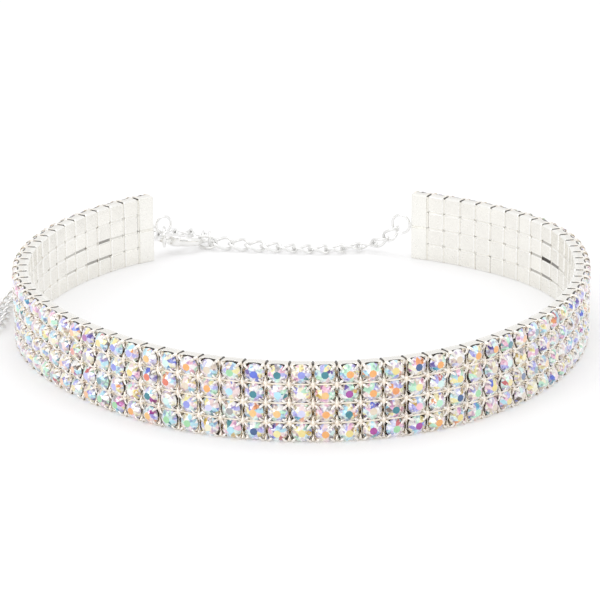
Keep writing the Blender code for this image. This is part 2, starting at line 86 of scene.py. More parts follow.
# Stations of the solder: distance as a share of the neck, distance added, size
SOLDER_STATIONS = ((0.0, -0.25, 1.25), (0.0, 0.0, 1.1), (0.5, 0.0, 0.85), (1.0, 0.3, 0.9))
RING_SEGMENTS = 48
RING_SIDES = 14
RING_CUT_DEGREES = 2.0
JUMP_RING_DIAMETER = 5.0
JUMP_RING_RADIUS = (JUMP_RING_DIAMETER - RING_WIRE) / 2
JUMP_RING_TILT = 12.0
JUMP_RING_REACH = 40.0
RING_PLAY = 0.42
CLASP_HEADING = 34.7
CLASP_PITCH = 9.5
CLAW_CENTRE = Vector((6.6, -0.1, 0.0))
CLAW_HALF_LENGTH = 3.75
CLAW_HALF_WIDTH = 2.0
CLAW_SECTIONS = (
    (-152, 0.85, 1.12),
    (-120, 0.82, 1.1),
    (-85, 0.72, 0.95),
    (-50, 0.6, 0.46),
    (0, 0.6, 0.42),
    (35, 0.5, 0.5),
    (58, 0.32, 0.4),
)
CLAW_NOSE = 0.6
# How soon the claw narrows to its tip, and its share of width there
CLAW_TIP = (14, 0.35)
PIVOT = Vector((3.2, 0.6, 0.0))
BARREL_CENTRE = Vector((3.0, 0.1, 0.0))
BARREL_RADIUS = 1.9
BARREL_THICKNESS = 2.4
# Half of the barrel's profile, as shares of its radius and half its thickness: rims rounded over and
# a shallow groove near each face
BARREL_PROFILE = (
    (0.2, -1.0),
    (0.62, -1.0),
    (0.66, -0.97),
    (0.7, -1.0),
    (0.8, -0.98),
    (0.92, -0.88),
    (0.985, -0.66),
    (1.0, -0.4),
)
BARREL_SIDES = 40
# Half of the pin's profile, from its head: radius and height
PIN_PROFILE = ((0.36, -1.24), (0.46, -1.18), (0.46, -1.1), (0.3, -1.1))
PIN_SIDES = 24
EYE_RADIUS = 1.35
EYE_WIRE = 0.68
EYE_SIDES = 16
EYE_FLATNESS = 1.15
SLOT_FLOOR = 0.9
SLOT_HALF_HEIGHT = 0.65
# The slot's mouth, root and end, as shares of the barrel's radius
SLOT_SHARES = (-1.5, -0.62, 2.0)
CLAW_STATIONS = 56
CLAW_SIDES = 20
METAL_SMOOTH_ANGLE = 38
PRONG_SMOOTH_ANGLE = 40
WIRE_SMOOTH_ANGLE = 60

# Extender chain, in millimetres, as the CAD has it
LINK_WIRE = 0.6
LINK_WIDTH = 3.36
LINK_HALF_WIDTH = (LINK_WIDTH - LINK_WIRE) / 2
LINK_STEP = 3.87
LINK_PLAY = 0.08
# The wire as it shows, a little fuller than the CAD's
LINK_FULLNESS = 0.7
LINK_SEGMENTS = 36
LINK_SIDES = 10
LINK_ROUNDNESS = 0.92
LINK_TWIST = 45.0
ROLL_FADE = 4
HOOKED_LINK_HEADING = -15.0
HOOKED_LINK_HEIGHT = 1.75
HOOKED_LINK_PLAY = 0.5
CHAIN_RING_PLAY = 0.2
TAIL_TURN = 18.0
TAIL_DROP = 30.0
# Where the tail hangs on the held link: along its axis, and out as a share of its half width
TAIL_HOLD = (0.7, 0.9)
WORN_ROUTE = (
    (19.8, 29.4, 3.8),
    (17.6, 30.9, 2.2),
    (15.1, 31.6, 1.5),
    (11.0, 30.6, 1.2),
    (5.0, 30.3, 1.0),
    (-2.5, 31.1, 1.1),
    (-9.0, 32.0, 1.3),
    (-14.2, 32.9, 1.5),
)
TAIL_ROUTE = (
    (-22.5, 41.0, 1.5),
    (-25.7, 43.0, 1.4),
    (-30.0, 43.6, 1.2),
    (-36.0, 41.8, 1.0),
    (-43.0, 35.8, 0.9),
    (-50.0, 26.5, 0.9),
    (-56.0, 15.3, 0.9),
    (-60.5, 4.0, 0.9),
    (-62.8, -7.0, 0.9),
    (-62.8, -16.0, 0.9),
    (-63.6, -23.7, 0.9),
    (-66.8, -30.0, 0.9),
)
ROUTE_SAMPLES = 24

# The photo's camera in the plan frame
CAMERA_PLACE = Vector((0.0, -545.27, 177.65))
CAMERA_DOWN = 0.31697
CAMERA_ROLL = -0.00728
CAMERA_FOCAL_PIXELS = 2643.5
FRAME_PIXELS = 600
SENSOR_WIDTH = 36.0

# Lamps: name, place, what it points at, size, power
LAMPS = (
    ("overhead", (0.05, 0.1, 0.9), (0, 0, 0), (0.4, 0.4), 0.95),
    ("left_box", (-0.75, -0.6, 0.5), (0, 0, 0.01), (0.3, 0.5), 1.3),
    ("low_box", (-0.35, -0.8, 0.1), (-0.03, -0.05, 0), (0.7, 0.12), 0.42),
    ("right_box", (0.75, -0.4, 0.6), (0, 0, 0.01), (0.2, 0.4), 0.4),
)
# Brightness of the tent from its lowest to its highest, all round and on the camera's side
TENT_STOPS = ((0.0, 1.0), (0.5, 0.9), (0.6, 0.72), (0.72, 0.8), (0.86, 0.8), (1.0, 0.9))
OPENING_STOPS = (
    (0.0, 0.9),
    (0.5, 0.9),
    (0.6, 0.8),
    (0.64, 0.42),
    (0.72, 0.36),
    (0.77, 0.95),
    (1.0, 0.84),
)
OPENING_SIDE = (-0.75, -0.45)
TENT_STRENGTH = 1.27
FLOOR_HALF = 1.5
FLOOR_DROP = 0.02 * MM
PAPER_COLOUR = (0.66, 0.665, 0.685)
PAPER_GLOW = (1.0, 0.97, 0.915)
PAPER_GLOW_STRENGTH = 0.29

# Colours of the coated stones, linear, with how often each comes. The near white pale colour is a
# painted glint, and the dark grey pale colour and the dark brown accent are painted dark reflections.
TABLE_COLOURS = (
    ((1.0, 0.45, 0.13), 24),
    ((1.0, 0.6, 0.22), 12),
    ((0.95, 0.78, 0.28), 10),
    ((0.02, 0.22, 0.27), 8),
    ((0.03, 0.1, 0.27), 7),
    ((0.2, 0.55, 0.75), 8),
    ((0.38, 0.75, 0.4), 7),
    ((0.4, 0.05, 0.35), 6),
    ((0.3, 0.33, 0.85), 6),
    ((0.85, 0.2, 0.12), 4),
    ((0.85, 0.72, 0.55), 10),
)
PALE_COLOURS = (
    ((1.0, 0.9, 0.4), 12),
    ((1.0, 0.94, 0.66), 10),
    ((0.56, 0.95, 0.68), 11),
    ((0.5, 0.86, 1.0), 11),
    ((0.74, 0.98, 0.93), 9),
    ((0.5, 0.5, 0.97), 8),
    ((0.72, 0.72, 1.0), 8),
    ((1.0, 0.56, 0.72), 8),
    ((1.0, 0.76, 0.74), 8),
    # Painted glint
    ((1.0, 0.98, 0.95), 15),
    ((0.76, 0.62, 0.5), 6),
    # Painted dark reflection
    ((0.4, 0.38, 0.38), 3),
)
ACCENT_COLOURS = (
    ((0.45, 0.04, 0.32), 12),
    ((0.13, 0.08, 0.4), 12),
    ((0.1, 0.16, 0.75), 16),
    ((0.03, 0.25, 0.28), 12),
    ((0.9, 0.33, 0.1), 14),
    ((0.75, 0.5, 0.08), 10),
    ((0.08, 0.42, 0.62), 12),
    ((0.62, 0.12, 0.13), 8),
    # Painted dark reflection
    ((0.18, 0.13, 0.1), 8),
)
ACCENT_SHARE = 0.14
STRONG_TABLE_SHARE = 0.75
# How much light the glass gives back
GLASS_SHARE = 0.87
RANDOM_SEED = 7
# How strongly the painted reflections of the small back facets show: painted glints and darker cells
BACK_FACET_REFLECTIONS = 0.7

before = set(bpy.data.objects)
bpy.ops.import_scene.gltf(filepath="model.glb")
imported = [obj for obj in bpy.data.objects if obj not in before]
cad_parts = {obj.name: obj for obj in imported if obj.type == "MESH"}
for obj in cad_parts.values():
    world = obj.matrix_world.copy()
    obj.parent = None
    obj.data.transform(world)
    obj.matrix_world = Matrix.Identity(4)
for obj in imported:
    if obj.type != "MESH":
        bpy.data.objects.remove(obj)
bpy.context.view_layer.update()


def heading_vector(degrees):
    return Vector((math.cos(math.radians(degrees)), math.sin(math.radians(degrees)), 0.0))


def outward_of(heading):
    return heading_vector(heading - 90)


def even_turns(count, offset=0.0):
    return [2 * math.pi * (k + offset) / count for k in range(count)]


def band_line():
    turns = [turn for count, turn in BAND_STRETCHES for _ in range(count)]
    points = [BAND_START.copy()]
    headings = []
    for k in range(len(turns)):
        headings.append(FIRST_HEADING + sum(turns[1 : k + 1]))
        points.append(points[-1] + heading_vector(headings[-1]) * COLUMN_PITCH)
    return points, headings


POINTS, HEADINGS = band_line()


def end_ring(side):
    index = 0 if side == "left" else -1
    direction = heading_vector(HEADINGS[index]) * (-1 if side == "left" else 1)
    normal = outward_of(HEADINGS[index])
    foot = POINTS[index] + normal * (TURNING_OFFSET + WEB_THICKNESS / 2)
    foot.z = END_RING_HEIGHT[side]
    centre = foot + direction * (SOLDER_NECK[side] + END_RING_DIAMETER[side] / 2)
    return foot, direction, normal, centre


def neck_section(middle, normal, size):
    """Points round the solder that holds an end ring."""
    across, tall = normal * SOLDER_SIZE[0], UP * SOLDER_SIZE[1]
    turns = even_turns(SOLDER_SIDES)
    return [middle + (across * math.cos(t) + tall * math.sin(t)) * size / 2 for t in turns]


def jump_ring_place():
    centre = end_ring("left")[-1]
    tilt = math.radians(JUMP_RING_TILT)
    reach = math.radians(JUMP_RING_REACH)
    down = Vector((0, math.sin(tilt), -math.cos(tilt)))
    back = Vector((0, math.cos(tilt), math.sin(tilt)))
    hung_on = centre - Vector((0, 0, (END_RING_DIAMETER["left"] - RING_WIRE) / 2))
    middle = hung_on + Vector((0, 0, RING_WIRE + RING_PLAY)) + down * JUMP_RING_RADIUS
    eye = middle + (back * math.sin(reach) + down * math.cos(reach)) * JUMP_RING_RADIUS
    return middle, eye, -down


def find_shift():
    """The CAD moves the plan so that its foot is the origin. The jump ring's box gives that move."""
    low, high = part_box("jump_ring")
    return (low + high) / 2 / MM - jump_ring_place()[0]


SHIFT = find_shift()
TO_FRAME = Matrix.Scale(MM, 4) @ Matrix.Translation(SHIFT)


# Materials: how many noise cells fit in a metre, and the levels at which they begin and end
PLATE_CLOUDS = (250.0, 0.35, 0.7)
PLATE_CLOUD_TONE = 0.96
PLATE_POLISH = (2600.0, 0.3, 0.7)
ROUGHNESS_SPREAD = (0.85, 1.2)
SURFACE_WAVES = 500.0
STONE_CLOUDS = (1500.0, 0.4, 0.65)
SHIMMER_COLOUR = (0.75, 0.86, 1.0)
# Cells of the painted reflections, the levels of the painted glints and of the darker cells, and the
# darker cells' colour
REFLECTION_CELLS = 2100.0
GLINT_LEVELS = (0.8, 0.84)
DARK_REFLECTION_LEVELS = (0.78, 0.82)
DARK_REFLECTION_COLOUR = (0.5, 0.36, 0.62)
# Painted sheen: where it begins and ends on the facing weight, its share and its colour
SHEEN_LEVELS = (0.35, 0.8)
SHEEN_SHARE = 0.75
SHEEN_COLOUR = (0.93, 0.93, 0.99)


def set_inputs(node, values):
    for name, value in values.items():
        node.inputs[name].default_value = value


def principled(name, colour, roughness, metallic):
    material = bpy.data.materials.new(name)
    material.use_nodes = True
    shader = material.node_tree.nodes["Principled BSDF"]
    set_inputs(shader, {"Base Color": (*colour, 1.0), "Roughness": roughness, "Metallic": metallic})
    return material, material.node_tree, shader


def mix_colours(tree, blend, factor, first, second):
    """A Mix node for colours. Each of factor, first and second is a value or a socket."""
    node = tree.nodes.new("ShaderNodeMix")
    node.data_type = "RGBA"
    node.blend_type = blend
    for socket, value in ((node.inputs[0], factor), (node.inputs[6], first), (node.inputs[7], second)):
        if isinstance(value, bpy.types.NodeSocket):
            tree.links.new(value, socket)
        elif isinstance(value, float):
            socket.default_value = value
        else:
            socket.default_value = (*value, 1.0)
    return node.outputs[2]


def noise(tree, scale, detail=2.0):
    coordinates = tree.nodes.new("ShaderNodeTexCoord")
    node = tree.nodes.new("ShaderNodeTexNoise")
    set_inputs(node, {"Scale": scale, "Detail": detail})
    tree.links.new(coordinates.outputs["Object"], node.inputs["Vector"])
    return node.outputs["Fac"]


def map_range(tree, value, low, high, to_low, to_high):
    node = tree.nodes.new("ShaderNodeMapRange")
    set_inputs(node, {"From Min": low, "From Max": high, "To Min": to_low, "To Max": to_high})
    tree.links.new(value, node.inputs["Value"])
    return node.outputs["Result"]


def bump(tree, shader, height, strength, distance):
    node = tree.nodes.new("ShaderNodeBump")
    set_inputs(node, {"Strength": strength, "Distance": distance})
    tree.links.new(height, node.inputs["Height"])
    tree.links.new(node.outputs["Normal"], shader.inputs["Normal"])


def silver(name, colour, roughness, tinted=False, wave=0.1):
    """Silver plate: faint clouds, uneven polish and small dents. The mesh's tone may tint it, and may
    carry painted shade and painted highlights.
    """
    material, tree, shader = principled(name, colour, roughness, 1.0)
    scale, low, high = PLATE_CLOUDS
    cloud = map_range(tree, noise(tree, scale), low, high, 0.0, 1.0)
    darker = tuple(channel * PLATE_CLOUD_TONE for channel in colour)
    base = mix_colours(tree, "MIX", cloud, colour, darker)
    if tinted:
        tone = tree.nodes.new("ShaderNodeAttribute")
        tone.attribute_name = "tone"
        base = mix_colours(tree, "MULTIPLY", 1.0, base, tone.outputs["Color"])
    tree.links.new(base, shader.inputs["Base Color"])
    scale, low, high = PLATE_POLISH
    smoothest, roughest = [roughness * spread for spread in ROUGHNESS_SPREAD]
    polish = map_range(tree, noise(tree, scale), low, high, smoothest, roughest)
    tree.links.new(polish, shader.inputs["Roughness"])
    bump(tree, shader, noise(tree, SURFACE_WAVES, 1.0), wave, 0.03 * MM)
    return material


def coated_stone(name):
    """Cut glass with a rainbow coating. Each facet has its own colour, with a painted sheen that makes
    it paler where it is seen aslant.

    The tone's alpha says how strongly a facet shows painted reflections of the small back facets behind
    it: painted glints and darker cells.
    """
    material, tree, shader = principled(name, (0.9, 0.9, 0.9), 0.12, 0.3)
    tone = tree.nodes.new("ShaderNodeAttribute")
    tone.attribute_name = "tone"
    scale, low, high = STONE_CLOUDS
    cloud = map_range(tree, noise(tree, scale, 1.0), low, high, 0.0, 0.6)
    shimmer = mix_colours(tree, "SOFT_LIGHT", 0.5, tone.outputs["Color"], SHIMMER_COLOUR)
    base = mix_colours(tree, "MIX", cloud, tone.outputs["Color"], shimmer)
    # Painted reflections of the back facets: some cells are mixed towards white as painted glints, and
    # some are darkened
    coordinates = tree.nodes.new("ShaderNodeTexCoord")
    cells = tree.nodes.new("ShaderNodeTexVoronoi")
    cells.inputs["Scale"].default_value = REFLECTION_CELLS
    tree.links.new(coordinates.outputs["Object"], cells.inputs["Vector"])
    split = tree.nodes.new("ShaderNodeSeparateColor")
    tree.links.new(cells.outputs["Color"], split.inputs["Color"])
    glint = map_range(tree, split.outputs["Red"], *GLINT_LEVELS, 0.0, 1.0)
    depth = map_range(tree, split.outputs["Green"], *DARK_REFLECTION_LEVELS, 0.0, 1.0)
    for share in (glint, depth):
        tree.links.new(tone.outputs["Alpha"], share.node.inputs["To Max"])
    base = mix_colours(tree, "MIX", glint, base, (1.0, 1.0, 1.0))
    base = mix_colours(tree, "MULTIPLY", depth, base, DARK_REFLECTION_COLOUR)
    # Painted sheen towards a pale colour where a facet is seen aslant
    slant = tree.nodes.new("ShaderNodeLayerWeight")
    slant.inputs["Blend"].default_value = 0.5
    sheen = map_range(tree, slant.outputs["Facing"], *SHEEN_LEVELS, 0.0, SHEEN_SHARE)
    base = mix_colours(tree, "MIX", sheen, base, SHEEN_COLOUR)
    tree.links.new(base, shader.inputs["Base Color"])
    set_inputs(shader, {"Coat Weight": 1.0, "Coat IOR": 1.65, "Coat Roughness": 0.03, "IOR": 1.5})
    bump(tree, shader, noise(tree, SURFACE_WAVES, 1.0), 0.05, 0.05 * MM)
    return material


# Meshes

def add_object(name, data):
    item = bpy.data.objects.new(name, data)
    bpy.context.scene.collection.objects.link(item)
    return item


class Shape:
    """Points, faces and a colour for each face, gathered from many small parts."""

    def __init__(self):
        self.points = []
        self.faces = []
        self.tones = []
        self.count = 0

    def add(self, points, faces, tones=None, matrix=None):
        array = np.array(points, float)
        if matrix is not None:
            m = np.array(matrix)
            array = array @ m[:3, :3].T + m[:3, 3]
        self.points.append(array)
        self.faces.extend(tuple(i + self.count for i in face) for face in faces)
        self.tones.extend(tones if tones is not None else [(1.0, 1.0, 1.0)] * len(faces))
        self.count += len(array)

    def build(self, name, material, smooth_angle=None, tinted=False):
        mesh = bpy.data.meshes.new(name)
        points = np.concatenate(self.points)
        mesh.from_pydata(points.tolist(), [], self.faces)
        mesh.transform(TO_FRAME)
        if tinted:
            layer = mesh.color_attributes.new("tone", "FLOAT_COLOR", "CORNER")
            colours = np.ones((len(mesh.loops), 4), np.float32)
            sizes = [len(face) for face in self.faces]
            tones = np.array(self.tones, np.float32)
            colours[:, : tones.shape[1]] = np.repeat(tones, sizes, axis=0)
            layer.data.foreach_set("color", colours.ravel())
        if smooth_angle is not None:
            mesh.polygons.foreach_set("use_smooth", [True] * len(mesh.polygons))
            mesh.set_sharp_from_angle(angle=math.radians(smooth_angle))
        mesh.materials.append(material)
        mesh.validate()
        mesh.update()
        return add_object(name, mesh)


def tube_mesh(stations, closed):
    """Points and faces of a tube through the stations, each a list of points round it."""
    sides = len(stations[0])
    points = [point for station in stations for point in station]
    faces = []
    count = len(stations)
    for s in range(count if closed else count - 1):
        a, b = s * sides, (s + 1) % count * sides
        for m in range(sides):
            n = (m + 1) % sides
            faces.append((a + m, a + n, b + n, b + m))
    if not closed:
        faces.append(tuple(range(sides))[::-1])
        faces.append(tuple(range((count - 1) * sides, count * sides)))
    return points, faces


def ring_tube(centre, toward, normal, radius, wire, sides=RING_SIDES, gap=0.0):
    """A round ring. With a gap in degrees it is a cut ring with two flat ends."""
    across = normal.cross(toward)
    stations = []
    for s in range(RING_SEGMENTS if gap == 0 else RING_SEGMENTS + 1):
        angle = math.radians(gap / 2) + math.radians(360 - gap) * s / RING_SEGMENTS
        outward = toward * math.cos(angle) + across * math.sin(angle)
        middle = centre + outward * radius
        turned_to = [outward * math.cos(t) - normal * math.sin(t) for t in even_turns(sides)]
        stations.append([middle + direction * wire / 2 for direction in turned_to])
    return tube_mesh(stations, gap == 0)


# Band: cups, prongs, stones and seams

def band_matrix(heading, place):
    """Turns millimetres along the band, away from the neck and up into the plan's."""
    outward = outward_of(heading)
    rotation = Matrix((heading_vector(heading), outward, UP)).transposed().to_4x4()
    return Matrix.Translation(place + outward * TURNING_OFFSET) @ rotation


def column_matrix(k):
    return band_matrix(HEADINGS[k], (POINTS[k] + POINTS[k + 1]) / 2)


def gap_matrix(k):
    return band_matrix((HEADINGS[k - 1] + HEADINGS[k]) / 2, POINTS[k])


def cell_span(row):
    low = ROW_PITCH * row + (0.0 if row == 0 else ROW_SLIT / 2)
    high = ROW_PITCH * (row + 1) - (0.0 if row == ROWS - 1 else ROW_SLIT / 2)
    return low, high


CORNER_RADIUS = 0.3
RIM_MIDDLE = 2.05
RIM_CORNER = 2.6
WALL = 0.17
SEAT_DEPTH = 1.85
SEAT_RISE = 0.5
STEEP = 0.45
# How far the corners of the rim lean out over the gaps, along the band and up
FLARE = (0.17, 0.05)
# The rounded edge of a cup's back: how far in, how deep
BACK_ROUNDING = ((0.34, 0.0), (0.17, 0.04), (0.05, 0.15), (0.0, 0.34))
WALL_START = 0.9
# The rounded rim, from outside to inside: how far in, how far below its crest
RIM_ROUNDING = ((0.0, 0.13), (0.03, 0.03), (0.1, 0.0), (WALL, 0.04))
SEAT_STEP = 0.04
# How bright the plate of a cup's back is, from least to most, and the other tones of a cup. The rim's
# inner edge, the inner wall and the seat grow darker into the cup: painted shade.
# The plate is dimmer and creamier than the white rounded edges of the back, so the edges show a painted
# highlight; how much dimmer varies at random from cup to cup
PLATE_TONES = (0.93, 0.965)
PLATE_TINT = (1.0, 0.993, 0.97)
BACK_ROUNDING_HIGHLIGHT_TONE = (1.0, 1.0, 1.0)
BACK_EDGE_TONE = (1.0, 0.995, 0.985)
WALL_TINT = (1.0, 0.99, 0.975)
RIM_TONE = (1.0, 0.99, 0.97)
RIM_INNER_SHADE_TONE = (1.0, 0.98, 0.94)
INNER_WALL_SHADE_TONE = (0.97, 0.92, 0.84)
SEAT_SHADE_TONE = (0.96, 0.9, 0.81)


def cup_outline(half_width, half_height):
    """Points round a cup with rounded corners, each with how near it is to a corner, from 0 to 1."""
    outline = []
    for quarter in range(4):
        turn = quarter * math.pi / 2
        a, b = (half_width, half_height) if quarter % 2 == 0 else (half_height, half_width)
        for side in (0.0, 0.5):
            outline.append((turn, a, side * b, side * STEEP))
        inner_a, inner_b = a - CORNER_RADIUS, b - CORNER_RADIUS
        for step in (0.0, 45.0, 90.0):
            bend = math.radians(step)
            x = inner_a + CORNER_RADIUS * math.cos(bend)
            y = inner_b + CORNER_RADIUS * math.sin(bend)
            outline.append((turn, x, y, 1.0))
        outline.append((turn, 0.5 * a, b, 0.5 * STEEP))
    return [
        (x * math.cos(turn) - y * math.sin(turn), x * math.sin(turn) + y * math.cos(turn), near)
        for turn, x, y, near in outline
    ]


def cup_level(low, high, inset, depth, near_gain=0.0, flare=0.0):
    """Points round a cup at one depth, or further out by near_gain and flare towards its corners."""
    half_width, half_height = CUP_WIDTH / 2, (high - low) / 2
    points = []
    for x, y, near in cup_outline(half_width, half_height):
        scale_x = 1 - (inset - FLARE[0] * flare * near) / half_width
        scale_y = 1 - (inset - FLARE[1] * flare * near) / half_height
        points.append((x * scale_x, depth + near_gain * near, y * scale_y + (low + high) / 2))
    return points


def add_cup(shape, low, high, matrix, rng):
    def level(*place):
        return cup_level(low, high, *place)

    rise = RIM_CORNER - RIM_MIDDLE
    levels = [
        *[level(inset, depth) for inset, depth in BACK_ROUNDING],
        level(0.0, WALL_START),
        *[level(inset, RIM_MIDDLE - drop, rise, 1.0) for inset, drop in RIM_ROUNDING],
        level(WALL + SEAT_STEP, SEAT_DEPTH, SEAT_RISE),
    ]
    # The back's rounded edges stay white beside the dimmer plate: a painted highlight
    plate = rng.uniform(*PLATE_TONES)
    wall = tuple(plate * tint for tint in WALL_TINT)
    # The rim's inner edge, the inner wall and the seat take darker tones: painted shade inside the cup
    rim = [RIM_TONE, RIM_TONE, RIM_INNER_SHADE_TONE, INNER_WALL_SHADE_TONE]
    shades = [BACK_ROUNDING_HIGHLIGHT_TONE] * 3 + [BACK_EDGE_TONE, wall] + rim
    count = len(levels[0])
    points = [point for group in levels for point in group]
    faces = []
    tones = []
    for s, shade in enumerate(shades):
        a, b = s * count, (s + 1) * count
        faces += [(a + m, b + m, b + (m + 1) % count, a + (m + 1) % count) for m in range(count)]
        tones += [shade] * count
    faces += [tuple(range(count)), tuple(range(b, b + count))[::-1]]
    # The seat's darker tone is painted shade
    tones += [tuple(plate * tint for tint in PLATE_TINT), SEAT_SHADE_TONE]
    shape.add(points, faces, tones, matrix)


# A prong's path: distance from the stone's middle along the diagonal, height, width
PRONG_PATH = (
    (2.5, 1.3, 1.2),
    (2.57, 2.3, 1.1),
    (2.52, 2.74, 0.74),
    (2.32, 3.1, 0.52),
    (2.0, 3.32, 0.44),
    (1.64, 3.35, 0.42),
    (1.4, 3.24, 0.24),
)
PRONG_THICKNESS = 0.22
PRONG_SECTION_FRONT = 4
PRONG_TURN = 0.12
# Steps over which a prong's tone turns from its foot's to its tip's
PRONG_TONE_STEPS = 3
# How far a prong stands out past its cup, along the band and up, and how far its inner side lies back
PRONG_REACH = (0.16, 0.03)
PRONG_HOLLOW = 0.13
# Tones of the prongs' tips, from dullest to brightest, of their feet and of their inner sides, which
# are darker as painted shade
TIP_TONES = ((0.8, 0.755, 0.72), (1.0, 0.985, 0.965))
FOOT_TONE = (1.0, 0.95, 0.88)
UNDER_SHADE_TONE = (0.95, 0.89, 0.8)
PRONG_SECTION = ((-1, 0), (-0.62, 0.8), (0, 1), (0.62, 0.8), (1, 0), (0.5, -1), (-0.5, -1))


def within(value, limit):
    return max(-limit, min(limit, value))


def add_prongs(shape, low, high, matrix, rng):
    """Four prongs, each wrapped round its corner of the cup and bent over the stone at the tip."""
    half_width, half_height = CUP_WIDTH / 2, (high - low) / 2
    centre = (low + high) / 2
    diagonal = math.hypot(half_width, half_height)
    for a, b in ((-1, -1), (-1, 1), (1, -1), (1, 1)):
        out = Vector((a * half_width, 0, b * half_height)) / diagonal
        across = Vector((0, 1, 0)).cross(out)
        shift = rng.uniform(-PRONG_TURN, PRONG_TURN)
        tip_tone = blend_colours(*TIP_TONES, (shift / PRONG_TURN + 1) / 2)
        steps = len(PRONG_PATH) - 1
        stations = []
        for k, (distance, depth, width) in enumerate(PRONG_PATH):
            before = PRONG_PATH[max(k - 1, 0)]
            after = PRONG_PATH[min(k + 1, steps)]
            run = out * (after[0] - before[0]) + Vector((0, after[1] - before[1], 0))
            normal = across.cross(run).normalized()
            if normal.dot(out + Vector((0, 1, 0))) < 0:
                normal = -normal
            middle = out * distance + Vector((0, depth, 0)) + across * shift * k / steps
            station = []
            for side, up in PRONG_SECTION:
                point = middle + across * side * width / 2 + normal * up * PRONG_THICKNESS / 2
                inset = 0.0 if up >= 0 else PRONG_HOLLOW
                point.x = within(point.x, half_width + PRONG_REACH[0] - inset)
                point.z = within(point.z, half_height + PRONG_REACH[1] - inset) + centre
                station.append(point)
            stations.append(station)
        points, faces = tube_mesh(stations, False)
        tones = []
        for s in range(steps):
            front = blend_colours(FOOT_TONE, tip_tone, min(1.0, s / PRONG_TONE_STEPS))
            tones += [front] * PRONG_SECTION_FRONT
            # The inner sides, towards the stone and the cup, take the painted shade tone
            tones += [UNDER_SHADE_TONE] * (len(PRONG_SECTION) - PRONG_SECTION_FRONT)
        tones += [UNDER_SHADE_TONE, tip_tone]
        shape.add(points, faces, tones, matrix)


STONE_RADIUS = 1.86
GIRDLE_LOW = 2.45
GIRDLE_HIGH = 2.6
CROWN_RADIUS = 1.36
CROWN_HEIGHT = 3.12
STONE_TABLE_RADIUS = 0.74
STONE_TABLE_HEIGHT = 3.5
CULET_HEIGHT = 1.4
# How far a stone sits out of true, in degrees
STONE_LEAN = 2.5
WHITE_TONE = (1.0, 0.98, 0.96)
GIRDLE_TONE = (0.6, 0.55, 0.55)
# The pavilion, seen only between rim and girdle, is painted dark as shade
PAVILION_SHADE_TONE = (0.16, 0.13, 0.12)
OWN_COLOUR_SHARE = 0.6
# How pale the stars may be, and the lower facets with a colour of their own and without
STAR_PALENESS = (0.0, 0.25)
OWN_PALENESS = 0.15
LOWER_PALENESS = (0.05, 0.4)


def stone_template():
    """A round stone cut with a table, eight stars, eight kites and sixteen lower crown facets."""

    def circle(count, radius, depth, offset=0.0):
        turns = even_turns(count, offset)
        return [(radius * math.cos(t), depth, radius * math.sin(t)) for t in turns]

    points = circle(8, STONE_TABLE_RADIUS, STONE_TABLE_HEIGHT)
    points += circle(8, CROWN_RADIUS, CROWN_HEIGHT, 0.5)
    points += circle(16, STONE_RADIUS, GIRDLE_HIGH)
    points += circle(16, STONE_RADIUS, GIRDLE_LOW)
    points.append((0.0, CULET_HEIGHT, 0.0))
    faces = [tuple(range(8))[::-1]]
    kinds = ["table"]
    for k in range(8):
        n = (k + 1) % 8
        before = (k - 1) % 8
        faces.append((k, n, 8 + k))
        kinds.append(("star", k))
        faces.append((8 + before, k, 8 + k, 16 + 2 * k))
        kinds.append(("kite", k))
        for j in (2 * k, 2 * k + 1):
            faces.append((8 + k, 16 + (j + 1) % 16, 16 + j))
            kinds.append(("lower", j))
    for j in range(16):
        i = (j + 1) % 16
        faces.append((16 + j, 16 + i, 32 + i, 32 + j))
        kinds.append(("girdle", j))
        faces.append((32 + j, 32 + i, 48))
        kinds.append(("pavilion", j))
    return points, faces, kinds


STONE = stone_template()


def weighted(rng, table):
    total = sum(weight for _, weight in table)
    pick = rng.uniform(0, total)
    for colour, weight in table:
        pick -= weight
        if pick <= 0:
            return colour
    return table[-1][0]


def blend_colours(a, b, share):
    return tuple(x + (y - x) * share for x, y in zip(a, b))


def facet_colour(rng):
    return weighted(rng, ACCENT_COLOURS if rng.random() < ACCENT_SHARE else PALE_COLOURS)


def stone_tones(rng):
    """One colour for each facet: a strong table, pale neighbours, now and then a deep one, and a
    pavilion painted dark as shade.
    """
    strong = rng.random() < STRONG_TABLE_SHARE
    table = weighted(rng, TABLE_COLOURS) if strong else facet_colour(rng)
    kites = [facet_colour(rng) for _ in range(8)]
    tones = []
    for kind in STONE[2]:
        if kind == "table":
            tones.append(table)
            continue
        name, k = kind
        if name == "star":
            tones.append(blend_colours(kites[k], WHITE_TONE, rng.uniform(*STAR_PALENESS)))
        elif name == "kite":
            tones.append(kites[k])
        elif name == "lower" and rng.random() < OWN_COLOUR_SHARE:
            tones.append(blend_colours(facet_colour(rng), WHITE_TONE, OWN_PALENESS))
        elif name == "lower":
            kite = kites[(k + 1) // 2 % 8]
            tones.append(blend_colours(kite, WHITE_TONE, rng.uniform(*LOWER_PALENESS)))
        elif name == "girdle":
            tones.append(blend_colours(kites[k // 2], GIRDLE_TONE, 0.5))
        else:
            # Painted shade on the pavilion
            tones.append(PAVILION_SHADE_TONE)
    shown = [0.0 if kind == "table" else BACK_FACET_REFLECTIONS for kind in STONE[2]]
    return [(*(channel * GLASS_SHARE for channel in tone), share) for tone, share in zip(tones, shown)]


def add_stone(shape, low, high, matrix, rng):
    points, faces, _ = STONE
    turn = Matrix.Rotation(rng.uniform(0, math.pi / 4), 4, "Y")
    tip = Matrix.Rotation(math.radians(rng.uniform(-STONE_LEAN, STONE_LEAN)), 4, "X")
    lean = Matrix.Rotation(math.radians(rng.uniform(-STONE_LEAN, STONE_LEAN)), 4, "Z")
    place = Matrix.Translation((0, 0, (low + high) / 2))
    shape.add(points, faces, stone_tones(rng), matrix @ place @ tip @ lean @ turn)


